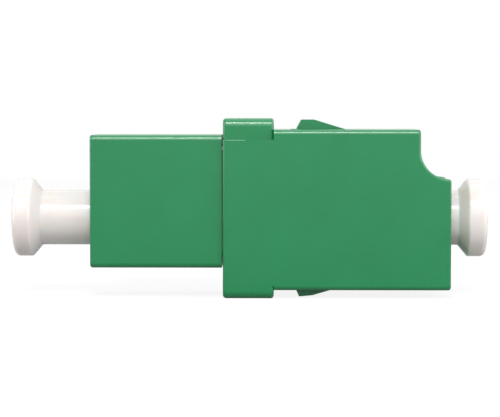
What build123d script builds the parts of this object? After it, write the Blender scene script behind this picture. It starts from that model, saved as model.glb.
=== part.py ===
"""Fibre optic adapter that joins two small square plugs through a panel, with a dust cap in each port.

X is the ferrule axis and +X points out of the front port. Z is up, the side of the plugs' latches.
The origin is the middle of the split sleeve, where the tips of the two ferrules meet.
All sizes are in millimetres.
"""

import os

from build123d import *

# Plug interface, the same in both ports
port_width = 4.65
port_corner = 0.2
port_floor = 1.4
keyway_width = 3.3
keyway_roof = 5.2
latch_stop = 10.1
latch_room_end = 4.2

# Main housing, the block that goes through the panel
body_wall = 1.175
body_top = 7.25
body_bottom = -5.71
body_round = 0.37
mouth_front = 16.26
rim_round = 0.2

# Flange that stops against the panel
flange_back = -2.13
panel_face = 1.98
tab_inset = 0.4
tab_rise = 0.91
shoulder_drop = 0.815
shoulder_round = 0.08
lug_drop = 0.68
long_round = 0.62
flange_back_round = 0.27
flange_front_round = 0.24

# Finger notch over the front port
notch_length = 2.46
notch_floor = 3.25
notch_radius = 2.35
notch_round = 0.2

# Snap tongues, above and below, and their barbs
panel_gap = 1.8
tongue_width = 4.5
tongue_thickness = 1.0
tongue_slot = 0.45
tongue_relief = 1.0
tongue_root = 10.1
barb_round = 0.12
crest_round = 0.8
top_barb_lean = 0.42
top_barb_rise = 0.8
top_barb_crest = 1.05
top_barb_ramp = 2.6
bottom_barb_lean = 0.25
bottom_barb_rise = 0.6
bottom_barb_crest = 1.1
bottom_barb_fall = 0.1
bottom_barb_ramp = 1.7

# Rear housing and the spigot that joins it to the main one
rear_wall = 0.775
rear_top = 6.82
rear_bottom = -3.94
rear_round = 0.42
mouth_rear = 12.89
seam = 0.1
spigot_wall = 0.475
spigot_top = 5.9
spigot_bottom = -3.0
spigot_round = 0.3

# Alignment sleeve and the two halves of its holder
ferrule_bore = 1.25
sleeve_wall = 0.185
sleeve_length = 6.8
sleeve_split = 0.4
sleeve_float = 0.05
holder_wall = 0.34
holder_lip = 0.45
holder_lip_bore = 1.4
holder_lead_in = 0.25
holder_flange_width = 4.4
holder_flange = 0.6
holder_clearance = 0.05

# Dust caps
cap_clearance = 0.075
cap_inner_end = 2.0
cap_stand_off = 0.79
cap_cone = 0.78
cap_grip = 1.43
cap_grip_width = 6.36
cap_grip_round = 0.4
cap_cone_round = 0.18
cap_lead_in = 0.2
cap_bore = 3.0
cap_end_wall = 3.0

# Sizes that follow from those
body_width = port_width + 2 * body_wall
body_height = body_top - body_bottom
body_middle = (body_top + body_bottom) / 2
flange_length = panel_face - flange_back
shoulder = body_top - shoulder_drop
tab_width = body_width - 2 * tab_inset
tab_top = body_top + tab_rise
lug_bottom = body_bottom - lug_drop
barb_face = panel_face + panel_gap
tongue_length = tongue_root - barb_face
slotted_width = tongue_width + 2 * tongue_slot
rear_width = port_width + 2 * rear_wall
rear_height = rear_top - rear_bottom
rear_middle = (rear_top + rear_bottom) / 2
rear_front = flange_back - seam
spigot_width = port_width + 2 * spigot_wall
spigot_height = spigot_top - spigot_bottom
spigot_middle = (spigot_top + spigot_bottom) / 2
sleeve_width = ferrule_bore + 2 * sleeve_wall
holder_bore = sleeve_width + 2 * sleeve_float
holder_width = holder_bore + 2 * holder_wall
holder_lip_start = sleeve_length / 2 + sleeve_float
holder_end = holder_lip_start + holder_lip
web_bore = holder_width + 2 * holder_clearance
cap_neck_width = port_width - 2 * cap_clearance
cap_neck_end = mouth_front + cap_stand_off
cap_grip_start = cap_neck_end + cap_cone
cap_grip_end = cap_grip_start + cap_grip
cap_bore_end = cap_grip_end - cap_end_wall

flange_ends = ((flange_back, flange_back_round), (panel_face, flange_front_round))

# How near a plane an edge has to lie to be picked as lying in it
near = 0.001


def edges_at(piece, axis, position):
    """Pick a piece's edges whose middles lie in the plane across axis at position."""
    return piece.edges().filter_by_position(axis, position - near, position + near)


def cut_port(mouth, side):
    """Cut a port: the plug's square, the keyway over it and the room that its latch springs up into."""
    with BuildSketch(Plane.YZ.offset(side * mouth)) as plug:
        RectangleRounded(port_width, port_width, port_corner)
    extrude(plug.sketch, amount=-side * (mouth - port_floor), mode=Mode.SUBTRACT)
    for width, start in ((keyway_width, mouth), (port_width, latch_stop)):
        with BuildSketch(Plane.YZ.offset(side * start)) as keyway:
            Rectangle(width, keyway_roof, align=(Align.CENTER, Align.MIN))
        extrude(keyway.sketch, amount=-side * (start - latch_room_end), mode=Mode.SUBTRACT)


def cut_tongue(face, up, relief_end):
    """Free a tongue in the wall at height face: a slot round three sides and a relief under it."""
    with BuildSketch(Plane.XY.offset(face)) as slot:
        with Locations((barb_face - tongue_slot, 0)):
            Rectangle(tongue_length + tongue_slot, slotted_width, align=(Align.MIN, Align.CENTER))
        with Locations((barb_face, 0)):
            Rectangle(tongue_length, tongue_width, align=(Align.MIN, Align.CENTER), mode=Mode.SUBTRACT)
    extrude(slot.sketch, amount=-up * tongue_thickness, mode=Mode.SUBTRACT)
    with BuildSketch(Plane.XY.offset(face - up * tongue_thickness)) as relief:
        with Locations((barb_face - tongue_slot, 0)):
            Rectangle(relief_end - barb_face + tongue_slot, slotted_width, align=(Align.MIN, Align.CENTER))
    extrude(relief.sketch, amount=-up * tongue_relief, mode=Mode.SUBTRACT)


def add_barb(face, up, lean, rise, crest, fall, ramp):
    """Stand a barb on a tongue: a leaning face towards the panel, a crest that may fall, and a ramp."""
    crest_start = barb_face + lean
    ramp_end = crest_start + crest + ramp
    root = face - up * tongue_thickness / 2
    with BuildSketch(Plane.XZ) as profile:
        with BuildLine():
            Polyline(
                (barb_face, root),
                (barb_face, face),
                (crest_start, face + up * rise),
                (crest_start + crest, face + up * (rise - fall)),
                (ramp_end, face),
                (ramp_end, root),
                close=True,
            )
        make_face()
        crest_ends = profile.vertices().filter_by(lambda v: up * (v.Y - face) > rise / 2).sort_by(Axis.X)
        fillet(crest_ends[0], barb_round)
        fillet(crest_ends[1], crest_round)
    extrude(profile.sketch, amount=tongue_width / 2, both=True)


with BuildPart() as main_housing:
    # Lower part of the flange, flush with the block's sides, and its lug
    with BuildSketch(Plane.YZ.offset(flange_back)) as lower_flange:
        with Locations((0, lug_bottom)):
            Rectangle(body_width, shoulder - lug_bottom, align=(Align.CENTER, Align.MIN))
        fillet(lower_flange.vertices().group_by(Axis.Y)[0], long_round)
    extrude(amount=flange_length)
    for x, radius in flange_ends:
        lug_edges = edges_at(main_housing, Axis.X, x).filter_by(lambda e: e.center().Z < shoulder - near)
        fillet(lug_edges, radius)
    # Tab on top of the flange, set back from both sides
    with BuildSketch(Plane.YZ.offset(flange_back)) as tab:
        with Locations((0, body_middle)):
            Rectangle(tab_width, tab_top - body_middle, align=(Align.CENTER, Align.MIN))
        fillet(tab.vertices().group_by(Axis.Y)[-1], long_round)
    extrude(amount=flange_length)
    for x, radius in flange_ends:
        tab_edges = edges_at(main_housing, Axis.X, x).filter_by(lambda e: e.center().Z > shoulder + near)
        fillet(tab_edges, radius)
    shoulder_edges = edges_at(main_housing, Axis.Z, shoulder).filter_by(Axis.X)
    fillet(shoulder_edges.filter_by(lambda e: abs(e.center().Y) > body_width / 2 - near), shoulder_round)
    # Block that passes through the panel
    with BuildSketch(Plane.YZ.offset(panel_face)):
        with Locations((0, body_middle)):
            RectangleRounded(body_width, body_height, body_round)
    extrude(amount=mouth_front - panel_face)
    fillet(edges_at(main_housing, Axis.X, mouth_front), rim_round)
    # The block's flat sides run on into the flange, so that its front edges are round only below them
    with BuildSketch(Plane.YZ.offset(barb_face)):
        with Locations((0, body_bottom + body_round)):
            Rectangle(body_width, shoulder - body_bottom - body_round, align=(Align.CENTER, Align.MIN))
    extrude(amount=-flange_length)
    # Finger notch, with its two ends and its sides rounded over
    with BuildSketch(Plane.XZ) as notch:
        with Locations((mouth_front - notch_length, notch_floor)):
            Rectangle(2 * notch_length, body_height, align=(Align.MIN, Align.MIN))
        fillet(notch.vertices().sort_by(lambda v: v.X + v.Y)[0], notch_radius)
    extrude(amount=body_width, both=True, mode=Mode.SUBTRACT)
    notch_ends = [
        edges_at(main_housing, Axis.X, x).filter_by(Axis.Y).sort_by(Axis.Z)[-1]
        for x in (mouth_front - notch_length, mouth_front)
    ]
    fillet(notch_ends, notch_round)
    # Front port, and the pocket that takes the spigot, with a web between them that passes the holder
    cut_port(mouth_front, 1)
    with BuildSketch(Plane.YZ.offset(flange_back)):
        with Locations((0, spigot_middle)):
            RectangleRounded(spigot_width, spigot_height, spigot_round)
    extrude(amount=holder_flange - flange_back, mode=Mode.SUBTRACT)
    with BuildSketch(Plane.YZ.offset(holder_flange)):
        Circle(web_bore / 2)
    extrude(amount=port_floor - holder_flange, mode=Mode.SUBTRACT)
    # Snap tongues: the upper one's relief opens into the port, the lower one's runs out at the front
    cut_tongue(body_top, 1, tongue_root)
    cut_tongue(body_bottom, -1, mouth_front)
    add_barb(body_top, 1, top_barb_lean, top_barb_rise, top_barb_crest, 0, top_barb_ramp)
    add_barb(
        body_bottom, -1, bottom_barb_lean, bottom_barb_rise, bottom_barb_crest, bottom_barb_fall, bottom_barb_ramp
    )

with BuildPart() as rear_housing:
    with BuildSketch(Plane.YZ.offset(-mouth_rear)):
        with Locations((0, rear_middle)):
            RectangleRounded(rear_width, rear_height, rear_round)
    extrude(amount=mouth_rear + rear_front)
    fillet(edges_at(rear_housing, Axis.X, -mouth_rear), rim_round)
    # Spigot, which bottoms on the main housing's web and leaves the seam open
    with BuildSketch(Plane.YZ.offset(rear_front)):
        with Locations((0, spigot_middle)):
            RectangleRounded(spigot_width, spigot_height, spigot_round)
    extrude(amount=holder_flange - rear_front)
    cut_port(mouth_rear, -1)
    # Seat for the holder's two flanges, and the web behind it
    with BuildSketch(Plane.YZ.offset(-holder_flange)):
        Circle(holder_flange_width / 2 + holder_clearance)
    extrude(amount=2 * holder_flange, mode=Mode.SUBTRACT)
    with BuildSketch(Plane.YZ.offset(-port_floor)):
        Circle(web_bore / 2)
    extrude(amount=port_floor - holder_flange, mode=Mode.SUBTRACT)

# Split sleeve, which grips the two ferrules and floats in its holder
with BuildPart() as split_sleeve:
    with BuildSketch(Plane.YZ.offset(-sleeve_length / 2)):
        Circle(sleeve_width / 2)
        Circle(ferrule_bore / 2, mode=Mode.SUBTRACT)
        Rectangle(sleeve_split, sleeve_width, align=(Align.CENTER, Align.MIN), mode=Mode.SUBTRACT)
    extrude(amount=sleeve_length)

made = {"main_housing": main_housing, "rear_housing": rear_housing, "split_sleeve": split_sleeve}

for end, side in (("front", 1), ("rear", -1)):
    # Half of the sleeve's holder: a flange at the middle and a tube whose flared lip keeps the sleeve in
    with BuildPart() as holder:
        with BuildSketch(Plane.XZ):
            with BuildLine():
                Polyline(
                    (0, holder_bore / 2),
                    (0, holder_flange_width / 2),
                    (side * holder_flange, holder_flange_width / 2),
                    (side * holder_flange, holder_width / 2),
                    (side * holder_end, holder_width / 2),
                    (side * holder_end, holder_lip_bore / 2 + holder_lead_in),
                    (side * holder_lip_start, holder_lip_bore / 2),
                    (side * holder_lip_start, holder_bore / 2),
                    close=True,
                )
            make_face()
        revolve(axis=Axis.X)
    made["sleeve_holder_" + end] = holder
    # Dust cap: a hollow neck that fills the port, a cone and a round grip with a closed end
    with BuildPart() as cap:
        with BuildSketch(Plane.XZ) as outline:
            with BuildLine():
                Polyline(
                    (side * cap_inner_end, cap_bore / 2),
                    (side * cap_inner_end, cap_neck_width / 2 - cap_lead_in),
                    (side * (cap_inner_end + cap_lead_in), cap_neck_width / 2),
                    (side * cap_neck_end, cap_neck_width / 2),
                    (side * cap_grip_start, cap_grip_width / 2),
                    (side * cap_grip_end, cap_grip_width / 2),
                    (side * cap_grip_end, 0),
                    (side * cap_bore_end, 0),
                    (side * cap_bore_end, cap_bore / 2),
                    close=True,
                )
            make_face()
            cone_corners = outline.vertices().filter_by(
                lambda v: cap_neck_end - near < side * v.X < cap_grip_start + near
            )
            fillet(cone_corners, cap_cone_round)
            fillet(outline.vertices().sort_by(lambda v: side * v.X + v.Y)[-1], cap_grip_round)
        revolve(axis=Axis.X)
    made["dust_cap_" + end] = cap

os.makedirs("parts", exist_ok=True)
for name, piece in made.items():
    piece.part.label = name
    export_step(piece.part, f"parts/{name}.step")
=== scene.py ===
"""Looks of the fibre optic adapter: its plastics and ceramic, a pale floor, soft light and the camera."""

import math

import bpy
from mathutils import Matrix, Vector


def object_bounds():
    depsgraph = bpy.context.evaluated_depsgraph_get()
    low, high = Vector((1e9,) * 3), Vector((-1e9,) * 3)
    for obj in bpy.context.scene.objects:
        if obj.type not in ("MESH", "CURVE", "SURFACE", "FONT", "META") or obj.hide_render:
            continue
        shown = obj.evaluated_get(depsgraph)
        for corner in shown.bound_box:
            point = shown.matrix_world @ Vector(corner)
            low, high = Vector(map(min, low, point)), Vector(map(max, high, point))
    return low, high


bl_info = {
    "name": "Fibre optic adapter",
    "version": (1, 0, 0),
    "blender": (4, 5, 0),
    "location": "View3D > Sidebar > Adapter",
    "description": "Finishes a fibre optic adapter with its dust caps and sets up a product shot of it",
    "category": "Object",
}

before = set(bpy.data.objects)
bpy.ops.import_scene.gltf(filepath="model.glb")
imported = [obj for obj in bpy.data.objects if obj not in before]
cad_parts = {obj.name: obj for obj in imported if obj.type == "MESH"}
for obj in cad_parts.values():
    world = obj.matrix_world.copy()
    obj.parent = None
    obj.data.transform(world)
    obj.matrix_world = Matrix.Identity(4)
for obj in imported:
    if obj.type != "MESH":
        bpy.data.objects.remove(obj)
cad_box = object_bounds()

lamp_distance = 0.35
plastic_unevenness = 0.03
ceramic_unevenness = 0.04

# A noise stays between these two values nearly everywhere.
noise_low = 0.3
noise_high = 0.7


class HousingSettings(bpy.types.PropertyGroup):
    """Finish of the two green mouldings and the sleeve holders."""

    green: bpy.props.FloatVectorProperty(
        name="Green", description="Colour of the plastic", subtype="COLOR", size=3,
        default=(0.003, 0.214, 0.070),
    )
    deep_green: bpy.props.FloatVectorProperty(
        name="Deep green", description="Colour of its darker clouds", subtype="COLOR", size=3,
        default=(0.002, 0.196, 0.063),
    )
    cloud_size: bpy.props.FloatProperty(
        name="Cloud size", description="Width of the clouds in the colour", default=0.004, unit="LENGTH"
    )
    grain_size: bpy.props.FloatProperty(
        name="Grain size", description="Width of the mould's fine grain", default=0.00012, unit="LENGTH"
    )
    grain_depth: bpy.props.FloatProperty(
        name="Grain depth", description="Depth of the mould's fine grain", default=0.000002, unit="LENGTH"
    )
    roughness: bpy.props.FloatProperty(
        name="Roughness", description="Roughness of the moulded surface", subtype="FACTOR", default=0.2
    )
    gloss: bpy.props.FloatProperty(
        name="Gloss", description="Strength of the mirrored light", subtype="FACTOR", default=0.62
    )


class SleeveSettings(bpy.types.PropertyGroup):
    """Finish of the split sleeve."""

    ivory: bpy.props.FloatVectorProperty(
        name="Ivory", description="Colour of the ceramic", subtype="COLOR", size=3,
        default=(0.82, 0.81, 0.78),
    )
    deep_ivory: bpy.props.FloatVectorProperty(
        name="Deep ivory", description="Colour of its darker grains", subtype="COLOR", size=3,
        default=(0.78, 0.77, 0.74),
    )
    grain_size: bpy.props.FloatProperty(
        name="Grain size", description="Width of the ceramic's grains", default=0.00005, unit="LENGTH"
    )
    roughness: bpy.props.FloatProperty(
        name="Roughness", description="Roughness of the ground surface", subtype="FACTOR", default=0.16
    )


class CapSettings(bpy.types.PropertyGroup):
    """Finish of the dust caps."""

    white: bpy.props.FloatVectorProperty(
        name="White", description="Colour of the plastic", subtype="COLOR", size=3,
        default=(0.78, 0.74, 0.73),
    )
    warmth: bpy.props.FloatVectorProperty(
        name="Warmth", description="Colour of its warmer patches, as a share of the white", size=3,
        default=(1.0, 0.99, 0.97),
    )
    roughness: bpy.props.FloatProperty(
        name="Roughness", description="Roughness of the moulded surface", subtype="FACTOR", default=0.22
    )
    wave_size: bpy.props.FloatProperty(
        name="Wave size", description="Width of the waves in the surface", default=0.0012, unit="LENGTH"
    )
    wave_depth: bpy.props.FloatProperty(
        name="Wave depth", description="Depth of the waves in the surface", default=0.000003, unit="LENGTH"
    )
    light_depth: bpy.props.FloatProperty(
        name="Light depth", description="How far red light spreads inside the plastic", default=0.0008,
        unit="LENGTH",
    )
    light_shares: bpy.props.FloatVectorProperty(
        name="Light shares", description="How far each colour spreads, as a share of the light depth",
        size=3, default=(1.0, 0.75, 0.55),
    )


class StageSettings(bpy.types.PropertyGroup):
    """Camera, backdrop and floor."""

    camera_place: bpy.props.FloatVectorProperty(
        name="Camera place", description="Where the camera stands", subtype="TRANSLATION", size=3,
        default=(0.00247, -0.148, 0.00866),
    )
    camera_pitch: bpy.props.FloatProperty(
        name="Camera pitch", description="How far the camera looks down", subtype="ANGLE",
        default=math.radians(3.069),
    )
    camera_yaw: bpy.props.FloatProperty(
        name="Camera yaw", description="How far the camera turns to its left", subtype="ANGLE",
        default=math.radians(0.95),
    )
    focal_length: bpy.props.FloatProperty(
        name="Focal length", description="Focal length on a 36 mm wide sensor", default=129.6, min=1
    )
    nearest_seen: bpy.props.FloatProperty(
        name="Nearest seen", description="How near the camera a thing is still seen", default=0.001,
        unit="LENGTH",
    )
    room_light: bpy.props.FloatProperty(
        name="Room light", description="Level of the even light from all round", default=0.16
    )
    floor_size: bpy.props.FloatProperty(
        name="Floor size", description="Width of the floor", default=0.5, unit="LENGTH"
    )
    floor_glow: bpy.props.FloatProperty(
        name="Floor glow", description="How much of the floor's white is its own", default=0.88
    )
    floor_shade: bpy.props.FloatProperty(
        name="Floor shade", description="How much of the floor's white comes from the lamps", default=0.14
    )
    paper_white: bpy.props.FloatProperty(
        name="Paper white", description="How white the floor is for the light it throws back", default=0.4
    )
    mirrored_white: bpy.props.FloatProperty(
        name="Mirrored white", description="How white the floor is as the adapter mirrors it",
        default=0.55,
    )


def new_material(name):
    """A node material, its node tree and its shader."""
    material = bpy.data.materials.new(name)
    material.use_nodes = True
    tree = material.node_tree
    return material, tree, tree.nodes["Principled BSDF"]


def add_noise(tree, size, detail):
    """A noise in the object's own space whose features are about size across."""
    place = tree.nodes.new("ShaderNodeTexCoord")
    noise = tree.nodes.new("ShaderNodeTexNoise")
    noise.inputs["Scale"].default_value = 1 / size
    noise.inputs["Detail"].default_value = detail
    tree.links.new(place.outputs["Object"], noise.inputs["Vector"])
    return noise.outputs["Fac"]


def add_range(tree, noise, low, high):
    """Spread a noise over low to high."""
    spread = tree.nodes.new("ShaderNodeMapRange")
    spread.inputs["From Min"].default_value = noise_low
    spread.inputs["From Max"].default_value = noise_high
    spread.inputs["To Min"].default_value = low
    spread.inputs["To Max"].default_value = high
    tree.links.new(noise, spread.inputs["Value"])
    return spread.outputs["Result"]


def add_clouds(tree, shader, noise, first, second):
    """Colour the shader from first to second by a noise."""
    clouds = tree.nodes.new("ShaderNodeMix")
    clouds.data_type = "RGBA"
    clouds.inputs["A"].default_value = (*first, 1)
    clouds.inputs["B"].default_value = (*second, 1)
    tree.links.new(add_range(tree, noise, 0, 1), clouds.inputs["Factor"])
    tree.links.new(clouds.outputs["Result"], shader.inputs["Base Color"])


def add_roughness(tree, shader, noise, middle, unevenness):
    """Let the shader's roughness stray from its middle by up to the unevenness."""
    roughness = add_range(tree, noise, middle - unevenness, middle + unevenness)
    tree.links.new(roughness, shader.inputs["Roughness"])


def add_bump(tree, shader, noise, depth):
    """Bump the shader's surface by a noise times depth."""
    bump = tree.nodes.new("ShaderNodeBump")
    bump.inputs["Distance"].default_value = depth
    tree.links.new(noise, bump.inputs["Height"])
    tree.links.new(bump.outputs["Normal"], shader.inputs["Normal"])


def make_green_plastic(settings):
    """Satin green plastic with faint clouds and the mould's fine grain."""
    material, tree, shader = new_material("green_plastic")
    clouds = add_noise(tree, settings.cloud_size, detail=2)
    add_clouds(tree, shader, clouds, settings.green, settings.deep_green)
    grain = add_noise(tree, settings.grain_size, detail=3)
    add_roughness(tree, shader, grain, settings.roughness, plastic_unevenness)
    add_bump(tree, shader, grain, settings.grain_depth)
    shader.inputs["Specular IOR Level"].default_value = settings.gloss
    return material


def make_ceramic(settings):
    """Ground and polished ceramic."""
    material, tree, shader = new_material("ceramic")
    grain = add_noise(tree, settings.grain_size, detail=2)
    add_clouds(tree, shader, grain, settings.ivory, settings.deep_ivory)
    add_roughness(tree, shader, grain, settings.roughness, ceramic_unevenness)
    return material


def make_white_plastic(settings):
    """Glossy, slightly waxy white plastic, a little wavy as a small moulding is."""
    material, tree, shader = new_material("white_plastic")
    warm_white = [channel * share for channel, share in zip(settings.white, settings.warmth)]
    waves = add_noise(tree, settings.wave_size, detail=2)
    add_clouds(tree, shader, waves, settings.white, warm_white)
    add_roughness(tree, shader, waves, settings.roughness, plastic_unevenness)
    add_bump(tree, shader, waves, settings.wave_depth)
    shader.inputs["Subsurface Weight"].default_value = 1
    shader.inputs["Subsurface Radius"].default_value = settings.light_shares
    shader.inputs["Subsurface Scale"].default_value = settings.light_depth
    return material


def dress(node, material):
    """Give a node of the frame its material."""
    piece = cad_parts[node]
    piece.data.materials.clear()
    piece.data.materials.append(material)


def add_softbox(name, turn, rise, width, height, brightness):
    """An area lamp that faces the adapter, turned to the right of the camera and raised.

    Its width and height are as seen from the adapter. All angles are in degrees.
    """
    bpy.ops.object.select_all(action="DESELECT")
    turn, rise = math.radians(turn), math.radians(rise)
    direction = Vector((math.sin(turn) * math.cos(rise), -math.cos(turn) * math.cos(rise), math.sin(rise)))
    bpy.ops.object.light_add(type="AREA", location=direction * lamp_distance)
    lamp = bpy.context.object
    lamp.name = name
    lamp.rotation_euler = direction.to_track_quat("Z", "Y").to_euler()
    lamp.data.shape = "RECTANGLE"
    lamp.data.size = 2 * lamp_distance * math.tan(math.radians(width) / 2)
    lamp.data.size_y = 2 * lamp_distance * math.tan(math.radians(height) / 2)
    lamp.data.energy = brightness * math.pi * lamp.data.size * lamp.data.size_y


def add_ray_share(tree, kinds):
    """One where a ray is of any of these kinds, and nought elsewhere."""
    path = tree.nodes.new("ShaderNodeLightPath")
    share = path.outputs[kinds[0]]
    for kind in kinds[1:]:
        either = tree.nodes.new("ShaderNodeMath")
        either.operation = "MAXIMUM"
        tree.links.new(share, either.inputs[0])
        tree.links.new(path.outputs[kind], either.inputs[1])
        share = either.outputs[0]
    return share


def add_level(tree, kinds, other, own):
    """A level that is own for rays of these kinds, and other for the rest."""
    level = tree.nodes.new("ShaderNodeMapRange")
    level.inputs["To Min"].default_value = other
    level.inputs["To Max"].default_value = own
    tree.links.new(add_ray_share(tree, kinds), level.inputs["Value"])
    return level.outputs["Result"]


def make_floor_paper(settings):
    """Paper that the camera sees as near white with its shadow, and that lights the adapter less."""
    material, tree, shader = new_material("floor")
    tree.nodes.remove(shader)
    paper = tree.nodes.new("ShaderNodeBsdfDiffuse")
    white = add_level(tree, ("Is Glossy Ray",), settings.paper_white, settings.mirrored_white)
    tree.links.new(white, paper.inputs["Color"])
    shade = tree.nodes.new("ShaderNodeBsdfDiffuse")
    shade.inputs["Color"].default_value = (*[settings.floor_shade] * 3, 1)
    glow = tree.nodes.new("ShaderNodeEmission")
    glow.inputs["Strength"].default_value = settings.floor_glow
    seen = tree.nodes.new("ShaderNodeAddShader")
    tree.links.new(shade.outputs["BSDF"], seen.inputs[0])
    tree.links.new(glow.outputs["Emission"], seen.inputs[1])
    either = tree.nodes.new("ShaderNodeMixShader")
    tree.links.new(add_ray_share(tree, ("Is Camera Ray", "Is Transmission Ray")), either.inputs["Fac"])
    tree.links.new(paper.outputs["BSDF"], either.inputs[1])
    tree.links.new(seen.outputs["Shader"], either.inputs[2])
    tree.links.new(either.outputs["Shader"], tree.nodes["Material Output"].inputs["Surface"])
    return material


class ADAPTER_OT_set_stage(bpy.types.Operator):
    """Set the camera, the lamps, the backdrop and the floor"""

    bl_idname = "adapter.set_stage"
    bl_label = "Set the stage"

    def execute(self, context):
        settings = context.scene.adapter_stage
        self.set_camera(context, settings)
        self.set_lamps()
        self.set_backdrop(context, settings)
        self.set_floor(settings)
        context.scene.view_settings.view_transform = "Standard"
        return {"FINISHED"}

    def set_camera(self, context, settings):
        """Stand the camera where the photograph was taken from."""
        bpy.ops.object.select_all(action="DESELECT")
        turn = (math.pi / 2 - settings.camera_pitch, 0, settings.camera_yaw)
        bpy.ops.object.camera_add(location=settings.camera_place, rotation=turn)
        camera = bpy.context.object
        camera.data.lens = settings.focal_length
        camera.data.clip_start = settings.nearest_seen
        context.scene.camera = camera

    def set_lamps(self):
        """Two strips and a softbox in front, and softboxes overhead, on each side and behind."""
        add_softbox("top_strip", turn=0, rise=48, width=26, height=6, brightness=33)
        add_softbox("soft_strip", turn=0, rise=35, width=26, height=16, brightness=3.4)
        add_softbox("front_softbox", turn=0, rise=18, width=50, height=14, brightness=1.8)
        add_softbox("overhead_softbox", turn=0, rise=95, width=24, height=50, brightness=0.85)
        add_softbox("left_softbox", turn=-82, rise=15, width=34, height=55, brightness=3.5)
        add_softbox("right_softbox", turn=62, rise=12, width=30, height=46, brightness=4.2)
        add_softbox("right_rim", turn=115, rise=30, width=30, height=60, brightness=1.8)
        add_softbox("back_softbox", turn=180, rise=40, width=50, height=20, brightness=1)

    def set_backdrop(self, context, settings):
        """A white backdrop to look at and to mirror, and a dimmer even light to see by."""
        world = bpy.data.worlds.new("backdrop")
        context.scene.world = world
        world.use_nodes = True
        background = world.node_tree.nodes["Background"]
        background.inputs["Color"].default_value = (1, 1, 1, 1)
        seen_rays = ("Is Camera Ray", "Is Glossy Ray", "Is Transmission Ray")
        level = add_level(world.node_tree, seen_rays, settings.room_light, 1)
        world.node_tree.links.new(level, background.inputs["Strength"])

    def set_floor(self, settings):
        """A pale floor under the lowest point of the adapter."""
        bpy.ops.object.select_all(action="DESELECT")
        bpy.ops.mesh.primitive_plane_add(size=settings.floor_size, location=(0, 0, cad_box[0].z))
        floor = bpy.context.object
        floor.name = "floor"
        bpy.ops.object.transform_apply(location=True, rotation=True, scale=True)
        floor.data.materials.append(make_floor_paper(settings))


class ADAPTER_OT_finish_housings(bpy.types.Operator):
    """Give the housings and the sleeve holders their green plastic"""

    bl_idname = "adapter.finish_housings"
    bl_label = "Finish the housings"

    def execute(self, context):
        material = make_green_plastic(context.scene.adapter_housing)
        for node in ("main_housing", "rear_housing", "sleeve_holder_front", "sleeve_holder_rear"):
            dress(node, material)
        return {"FINISHED"}


class ADAPTER_OT_finish_sleeve(bpy.types.Operator):
    """Give the split sleeve its ceramic"""

    bl_idname = "adapter.finish_sleeve"
    bl_label = "Finish the split sleeve"

    def execute(self, context):
        dress("split_sleeve", make_ceramic(context.scene.adapter_sleeve))
        return {"FINISHED"}


class ADAPTER_OT_finish_caps(bpy.types.Operator):
    """Give the dust caps their white plastic"""

    bl_idname = "adapter.finish_caps"
    bl_label = "Finish the dust caps"

    def execute(self, context):
        material = make_white_plastic(context.scene.adapter_caps)
        for node in ("dust_cap_front", "dust_cap_rear"):
            dress(node, material)
        return {"FINISHED"}


class ADAPTER_PT_sidebar(bpy.types.Panel):
    """Lists the steps that finish the adapter"""

    bl_idname = "ADAPTER_PT_sidebar"
    bl_label = "Fibre optic adapter"
    bl_space_type = "VIEW_3D"
    bl_region_type = "UI"
    bl_category = "Adapter"

    def draw(self, context):
        for step in steps:
            self.layout.operator(step.bl_idname)


settings_groups = {
    "adapter_housing": HousingSettings,
    "adapter_sleeve": SleeveSettings,
    "adapter_caps": CapSettings,
    "adapter_stage": StageSettings,
}
steps = (
    ADAPTER_OT_set_stage,
    ADAPTER_OT_finish_housings,
    ADAPTER_OT_finish_sleeve,
    ADAPTER_OT_finish_caps,
)


def register():
    for group in (*settings_groups.values(), *steps, ADAPTER_PT_sidebar):
        bpy.utils.register_class(group)
    for name, group in settings_groups.items():
        setattr(bpy.types.Scene, name, bpy.props.PointerProperty(type=group))


def unregister():
    for name in settings_groups:
        delattr(bpy.types.Scene, name)
    for group in (ADAPTER_PT_sidebar, *reversed(steps), *settings_groups.values()):
        bpy.utils.unregister_class(group)


def main():
    register()
    for step in steps:
        category, name = step.bl_idname.split(".")
        getattr(getattr(bpy.ops, category), name)()


if __name__ == "__main__":
    main()
